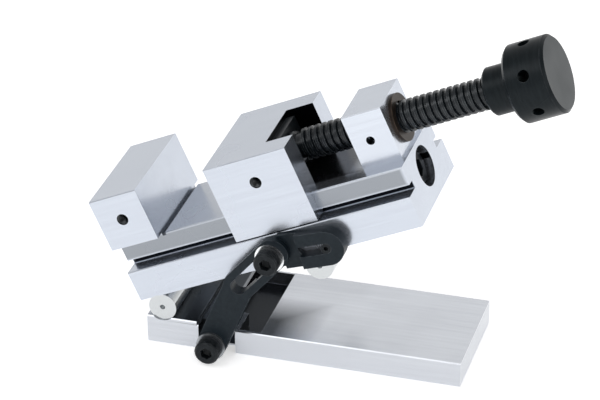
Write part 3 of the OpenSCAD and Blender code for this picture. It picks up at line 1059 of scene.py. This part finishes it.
class TappedHole:
    """The thread inside a stop hole, a thin sleeve of its own."""

    def __init__(self, name: str, body: str, size: TappedHoleSize = TappedHoleSize()) -> None:
        """Keeps the name and the body.

        Args:
            name: the piece's name.
            body: the body that it rides on.
            size: the thread's sizes.
        """
        self.name, self.body, self.size = name, body, size

    def build(self, mouth: Vector, inward: float, material: bpy.types.Material) -> bpy.types.Object:
        """Makes the threaded sleeve.

        Args:
            mouth: centre of the hole's mouth.
            inward: 1 for a front hole, -1 for a back one.
            material: the thread's material.

        Returns:
            The sleeve.
        """
        s = self.size
        builder = MeshBuilder()
        root = s.radius - s.wall
        thread = ThreadSize(s.radius - s.height, root, s.pitch, crest=0.2, flank=0.3, segments=s.segments)
        HelicalThread(thread).add(builder, s.start, s.depth, root)
        sleeve = [(s.start, root), (s.start, s.radius), (s.depth, s.radius), (s.depth, root)]
        builder.lathe(sleeve, s.segments)
        place = Matrix.Translation(mouth) @ Matrix.Rotation(inward * math.pi / 2, 4, "Z")
        piece = builder.build(self.name, place, material, smooth=0.5)
        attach(piece, self.body)
        return piece


@dataclass(frozen=True)
class Lamp:
    """A soft square light: where it stands, its width and its power in watts."""

    name: str
    place: tuple[float, float, float]
    size: float
    power: float


@dataclass(frozen=True)
class StudioSize:
    """Camera, floor and lights of the studio."""

    camera: tuple[float, float, float] = (0.376775, -1.280979, 0.824460)
    target: tuple[float, float, float] = (-0.010503, 0.0, 0.083428)
    roll: float = math.radians(0.669)
    lens: float = 166.63
    sensor: float = 36.0
    clip_end: float = 50.0
    floor_radius: float = 6.0
    floor_drop: float = 0.2 * MM
    floor_white: float = 0.93
    floor_glow: float = 0.52
    sky: tuple[float, float] = (0.90, 0.38)
    lamps: tuple[Lamp, ...] = (
        Lamp("key", (-0.55, -0.75, 1.15), 0.9, 4.0),
        Lamp("fill", (0.95, -0.60, 0.70), 0.9, 1.5),
        Lamp("back", (0.10, 1.00, 1.10), 1.2, 2.0),
    )


class Studio:
    """The plain floor, the soft lights and the camera."""

    def __init__(self, size: StudioSize = StudioSize()) -> None:
        """Keeps the sizes.

        Args:
            size: the studio's sizes.
        """
        self.size = size

    def build(self) -> None:
        """Makes the camera, floor, world and lights."""
        self._camera()
        self._floor()
        self._world()
        for lamp in self.size.lamps:
            self._light(lamp)

    def _camera(self) -> None:
        """Places the camera."""
        s = self.size
        place, target = Vector(s.camera), Vector(s.target)
        ahead = (target - place).normalized()
        right = ahead.cross(Vector((0, 0, 1))).normalized()
        down = ahead.cross(right)
        across = math.cos(s.roll) * right + math.sin(s.roll) * down
        below = -math.sin(s.roll) * right + math.cos(s.roll) * down
        turn = Matrix((across, -below, -ahead)).transposed().to_4x4()
        data = bpy.data.cameras.new("camera")
        data.lens = s.lens
        data.sensor_width = s.sensor
        data.clip_end = s.clip_end
        data.dof.use_dof = False
        camera = bpy.data.objects.new("camera", data)
        camera.matrix_world = Matrix.Translation(place) @ turn
        bpy.context.scene.collection.objects.link(camera)
        bpy.context.scene.camera = camera

    def _floor(self) -> None:
        """Makes the round pale floor."""
        mesh = bpy.data.meshes.new("floor")
        work = bmesh.new()
        bmesh.ops.create_circle(work, cap_ends=True, segments=64, radius=self.size.floor_radius)
        work.to_mesh(mesh)
        work.free()
        material = bpy.data.materials.new("floor_paper")
        material.use_nodes = True
        shader = material.node_tree.nodes["Principled BSDF"]
        shader.inputs["Base Color"].default_value = (*[self.size.floor_white] * 3, 1.0)
        shader.inputs["Roughness"].default_value = 0.9
        shader.inputs["Specular IOR Level"].default_value = 0.1
        shader.inputs["Emission Color"].default_value = (1.0, 1.0, 1.0, 1.0)
        shader.inputs["Emission Strength"].default_value = self.size.floor_glow
        mesh.materials.append(material)
        floor = bpy.data.objects.new("floor", mesh)
        floor.location.z = -self.size.floor_drop
        bpy.context.scene.collection.objects.link(floor)

    def _world(self) -> None:
        """Makes the white surroundings, a little dimmer overhead."""
        world = bpy.data.worlds.new("studio")
        bpy.context.scene.world = world
        world.use_nodes = True
        n, link = world.node_tree.nodes, world.node_tree.links.new
        back = n["Background"]
        coords = n.new("ShaderNodeTexCoord")
        split = n.new("ShaderNodeSeparateXYZ")
        link(coords.outputs["Generated"], split.inputs["Vector"])
        link(spread(world.node_tree, split.outputs["Z"], ALL, self.size.sky), back.inputs["Strength"])
        back.inputs["Color"].default_value = (1.0, 1.0, 1.0, 1.0)
        bpy.context.scene.view_settings.view_transform = "Standard"

    def _light(self, lamp: Lamp) -> None:
        """Makes a light that looks at the vise.

        Args:
            lamp: the light to make.
        """
        data = bpy.data.lights.new(lamp.name, "AREA")
        data.size = lamp.size
        data.energy = lamp.power
        light = bpy.data.objects.new(lamp.name, data)
        light.location = lamp.place
        ahead = Vector(self.size.target) - Vector(lamp.place)
        light.rotation_euler = ahead.to_track_quat("-Z", "Y").to_euler()
        bpy.context.scene.collection.objects.link(light)


@dataclass(frozen=True)
class ViseSize:
    """Sizes that the materials and small pieces share."""

    roll_drop: float = 7.6 * MM
    screw_v: float = 49.6 * MM
    stop_v: float = 49.6 * MM
    fixed_stop_u: float = 2.5 * MM
    jaw_stop_u: float = 87.05 * MM
    half_width: float = 35.0 * MM
    slab: float = 18.0 * MM
    rail_low: float = 22.5 * MM
    rail_top: float = 33.3 * MM
    block_hole_u: float = 151.6 * MM
    block_hole_v: float = 48.6 * MM
    block_half: float = 18.4 * MM
    stop_zone: float = 3.5 * MM
    block_zone: float = 2.6 * MM
    knob_end_u: float = 258 * MM
    base_shank: float = 4.0 * MM
    elbow_shank: float = 3.15 * MM


@dataclass(frozen=True)
class BaseMarks:
    """Where shade is painted on the base plate: x from its left end, y from the middle, z from the floor."""

    bed_x: tuple[float, float] = mm(12, 43)
    bed_y: tuple[float, float] = mm(-34.4, 34.4)
    pocket_x: tuple[float, float] = mm(42, 66.05)
    pocket_y: tuple[float, float] = mm(-33.1, 33.1)
    pocket_z: tuple[float, float] = mm(1, 15.2)
    shade_x: tuple[float, float] = mm(10, 98)
    shade_y: tuple[float, float] = mm(-80, 8)
    shade_z: tuple[float, float] = mm(14.9, 15.2)


@dataclass(frozen=True)
class BodyMarks:
    """Where shade, a shadow and a reflection are painted on the body and the jaw: u along the rail, y from
    the middle.
    """

    groove_u: tuple[float, float] = mm(-9.8, 166.3)
    relief_u: tuple[float, float] = mm(17.3, 19.9)
    relief_depth: float = 1.9 * MM
    rail_u: tuple[float, float] = mm(19.9, 140.8)
    rail_y: tuple[float, float] = mm(-28.4, 28.4)
    shade_u: tuple[float, float] = mm(90, 142)
    shade_y: tuple[float, float] = mm(-19, 19)
    side_u: tuple[float, float] = mm(-12.6, 166.3)
    side_y: tuple[float, float] = mm(-29.2, 29.2)
    window_u: tuple[float, float] = mm(94.6, 111.5)
    window_y: tuple[float, float] = mm(-19.7, 19.7)
    window_top: float = 64.4 * MM
    skin: float = 0.1 * MM


class SineVise:
    """The whole vise: sets materials on the CAD frame and adds the detailed pieces."""

    def __init__(self, nodes: dict[str, bpy.types.Object], size: ViseSize = ViseSize()) -> None:
        """Reads the body frame from the CAD.

        Args:
            nodes: the frame's node objects by name.
            size: shared sizes.
        """
        self.size = size
        self.body = BodyFrame.from_rolls(size.roll_drop)
        self.materials = MaterialLibrary(self.body)
        self.cad = CadParts(nodes)
        self.black = self.materials.make(BLACK)
        self.thread = self.materials.make(THREAD)

    def base(self) -> None:
        """Dresses the base plate and its link screw."""
        low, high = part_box("base_plate")
        m = BaseMarks()
        bed_x, pocket_x, shade_x = (
            (low[0] + span[0], low[0] + span[1]) for span in (m.bed_x, m.pocket_x, m.shade_x)
        )
        # Painted shade: the hinge bed, the pocket and the strip right of the links are darkened, standing in
        # for the shadow and dark reflection of the tilted body.
        bed = Zone(bed_x, m.bed_y, (m.pocket_z[0], high[2] + 1 * MM), BED_SHADE, BED_SOFT)
        pocket = Zone(pocket_x, m.pocket_y, m.pocket_z, POCKET_SHADE)
        shade = Zone(shade_x, m.shade_y, m.shade_z, SHADE_GREY, SHADE_SOFT)
        self.cad.dress(["base_plate"], self.materials.make(STEEL, (shade, bed, pocket)))
        self.cad.dress(["base_pivot_washer"], self.materials.make(DULL))
        KnurledScrew("base_pivot_screw", "base", self.size.base_shank).build(self.black, BASE_SOCKET_TURN)

    def links(self) -> None:
        """Dresses the two links and makes the elbow screw."""
        self.cad.dress(["base_link", "body_link"], self.materials.make(LINK))
        self.cad.dress(["elbow_washer"], self.materials.make(BRIGHT))
        self.cad.dress(["body_link_pin"], self.black)
        elbow = KnurledScrew("elbow_screw", "body_link_body", self.size.elbow_shank)
        elbow.build(self.black, ELBOW_SOCKET_TURN)

    def tilting_body(self) -> None:
        """Dresses the body, its rolls and the end block."""
        s = self.size
        m = BodyMarks()
        rail, skin = s.rail_top, m.skin
        wide = (-(s.half_width + 1 * MM), s.half_width + 1 * MM)
        # Painted shade in the groove, the relief and the side holes, painted shade on the rail's top and
        # sides, and a painted shadow and reflection of the screw on the rail top.
        zones = (
            Zone(m.groove_u, wide, (s.slab + skin, s.rail_low - skin), RECESS_SHADE),
            Zone(m.relief_u, wide, (rail - m.relief_depth, rail - skin), RECESS_SHADE),
            Zone(m.rail_u, m.rail_y, (rail - skin, rail + skin), RAIL_TOP_SHADE),
            Zone(m.shade_u, m.shade_y, (rail - 2 * skin, rail + 2 * skin), RAIL_SCREW_SHADE, RAIL_SOFT),
            Zone(m.side_u, m.side_y, (s.rail_low, rail - 2 * skin), RAIL_SIDE_SHADE, SIDE_SOFT),
            self._hole_zone(s.fixed_stop_u, s.half_width, s.stop_v, s.stop_zone),
        )
        self.cad.dress(["vise_body"], self.materials.make(BODY_STEEL, zones))
        # Painted shade inside the end block's side holes.
        block = self._hole_zone(s.block_hole_u, s.block_half, s.block_hole_v, s.block_zone)
        self.cad.dress(["end_block"], self.materials.make(BLOCK_STEEL, (block,)))
        self.cad.dress(["hinge_roll", "sine_roll"], self.materials.make(ROLL))
        self.cad.dress(["nut_bush"], self.materials.make(BRONZE))
        self.cad.dress_all(("hinge_roll_screw", "sine_roll_screw", "block_screw"), self.black)
        self.cad.dress(["end_cap_screw"], self.black)
        for side in (1, -1):
            mouth = self.body.point(s.fixed_stop_u, -side * s.half_width, s.stop_v)
            TappedHole(f"fixed_stop_thread_{side + 1}", "tilting_body").build(mouth, side, self.thread)

    @staticmethod
    def _hole_zone(u: float, half: float, v: float, radius: float) -> Zone:
        """Finds the painted shade inside a pair of side holes.

        Args:
            u: distance along the rail.
            half: half the width between the mouths.
            v: height above the underside of the body.
            radius: radius of the holes.

        Returns:
            The zone.
        """
        inside = half - 0.15 * MM
        return Zone((u - radius, u + radius), (-inside, inside), (v - radius, v + radius), RECESS_SHADE)

    def jaw(self) -> None:
        """Dresses the sliding jaw and what holds it."""
        s = self.size
        m = BodyMarks()
        # Painted shade inside the jaw's window and its side holes.
        zones = (
            Zone(m.window_u, m.window_y, (s.rail_top - 1 * MM, m.window_top), RECESS_SHADE, WINDOW_SOFT),
            self._hole_zone(s.jaw_stop_u, s.half_width, s.stop_v, s.stop_zone),
        )
        self.cad.dress(["movable_jaw", "keeper_front", "keeper_back"], self.materials.make(JAW_STEEL, zones))
        self.cad.dress_all(("keeper_screw", "retainer"), self.black)
        for side in (1, -1):
            mouth = self.body.point(s.jaw_stop_u, -side * s.half_width, s.stop_v)
            TappedHole(f"jaw_stop_thread_{side + 1}", "sliding_jaw").build(mouth, side, self.thread)

    def screw(self) -> None:
        """Makes the lead screw and dresses the knob."""
        LeadScrew(self.body, self.size.screw_v).build(self.thread)
        along = self.body.matrix().to_3x3() @ Vector((1, 0, 0))
        centre = self.body.point(self.size.knob_end_u, 0.0, self.size.screw_v)
        end = EndFace(tuple(along), tuple(centre), KNOB_END, KNOB_RING)
        self.cad.dress(["knob"], self.materials.make(KNOB, end_face=end))
        self.cad.dress(["knob_set_screw"], self.black)


def main() -> None:
    """Builds the scene piece by piece."""
    logging.basicConfig(level=logging.INFO)
    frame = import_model()
    vise = SineVise(frame["nodes"])
    steps: tuple[tuple[str, Callable[[], None]], ...] = (
        ("studio", Studio().build),
        ("base", vise.base),
        ("links", vise.links),
        ("tilting body", vise.tilting_body),
        ("sliding jaw", vise.jaw),
        ("lead screw and knob", vise.screw),
    )
    for label, step in steps:
        step()
        LOG.info("built %s", label)


if __name__ == "__main__":
    main()
